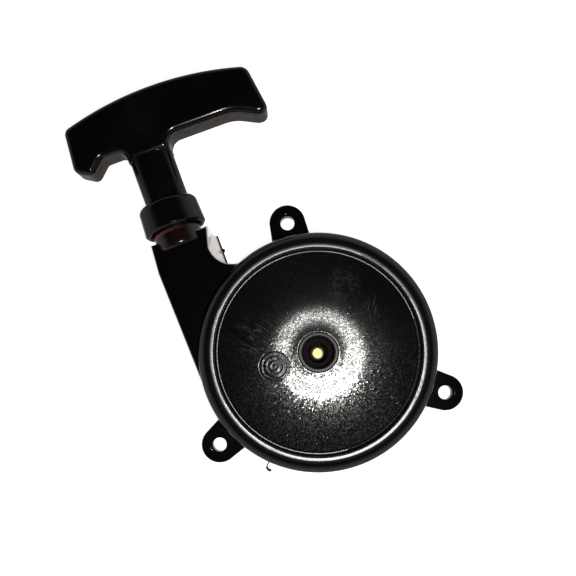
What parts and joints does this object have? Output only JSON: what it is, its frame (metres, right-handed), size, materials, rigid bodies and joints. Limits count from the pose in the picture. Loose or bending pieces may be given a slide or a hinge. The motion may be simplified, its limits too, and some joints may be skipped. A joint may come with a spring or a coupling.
{
  "type": "recoil starter",
  "caption": "Pull-cord recoil starter: round moulded case with fixing ears, rope neck and a T-shaped grip, over a spring-driven reel with swinging pawls.",
  "frame": {"origin": "reel axis at the plane of the case's open rim, where the ears bolt down", "axes": "+Z along the reel axis towards the outer face, +Y the way the rope is pulled, +X towards the side away from the neck"},
  "size_m": [0.132, 0.1893, 0.028],
  "materials": {
    "case_black": "fine spark-eroded grain, satin",
    "grip_black": "polished",
    "guide_plastic": "polished",
    "reel_plastic": "natural nylon",
    "rope": "braided",
    "screw_brass": "yellow passivated",
    "zinc_steel": "zinc plated",
    "spring_steel": "blued, oiled",
    "cover_steel": "rolled sheet",
    "liner_bronze": "sintered",
    "guide_plate": "pressed sheet",
    "pawl_steel": "hardened, oiled"
  },
  "bodies": {
    "case": {"starter_case": "case_black", "center_post": "case_black", "pivot_insert": "zinc_steel", "retaining_washer": "zinc_steel", "center_screw": "screw_brass", "brake_spring": "spring_steel", "spring_cover": "cover_steel", "recoil_spring": "spring_steel", "rope_guide": "guide_plastic"},
    "reel": {"reel": "reel_plastic", "post_liner": "liner_bronze", "rope_winding": "rope", "reel_knot": "rope", "pawl_pin_a": "zinc_steel", "pawl_pin_b": "zinc_steel"},
    "pawl_guide": {"pawl_guide": "guide_plate"},
    "pawl_a": {"pawl_a": "pawl_steel"},
    "pawl_b": {"pawl_b": "pawl_steel"},
    "handle": {"handle_grip": "grip_black", "grip_plug": "grip_black", "handle_washer": "zinc_steel", "handle_knot": "rope", "rope_lead": "rope"}
  },
  "joints": [
    {"name": "handle_pull", "type": "slide", "parent": "case", "child": "handle", "axis": [0, 1, 0], "range_m": [0, 0.62], "stiffness_N_per_m": 20, "springref_m": -0.3, "deforming": ["rope_lead"]},
    {"name": "reel_spin", "type": "hinge", "parent": "case", "child": "reel", "pos_m": [0, 0, 0.014], "axis": [0, 0, 1], "range_deg": [-1000, 0], "deforming": ["recoil_spring"]},
    {"name": "guide_turn", "type": "hinge", "parent": "reel", "child": "pawl_guide", "pos_m": [0, 0, 0.0056], "axis": [0, 0, 1], "range_deg": [0, 12], "stiffness_Nm_per_rad": 0.02, "springref_deg": -11.46},
    {"name": "pawl_a_swing", "type": "hinge", "parent": "reel", "child": "pawl_a", "pos_m": [0, 0.022, 0.0087], "axis": [0, 0, 1], "range_deg": [0, 24]},
    {"name": "pawl_b_swing", "type": "hinge", "parent": "reel", "child": "pawl_b", "pos_m": [0, -0.022, 0.0087], "axis": [0, 0, 1], "range_deg": [0, 24]}
  ],
  "couplings": [
    {"joint": "reel_spin", "follows": "handle_pull", "rad_per_m": -28.1},
    {"joint": "pawl_a_swing", "follows": "guide_turn", "ratio": 2},
    {"joint": "pawl_b_swing", "follows": "guide_turn", "ratio": 2}
  ]
}
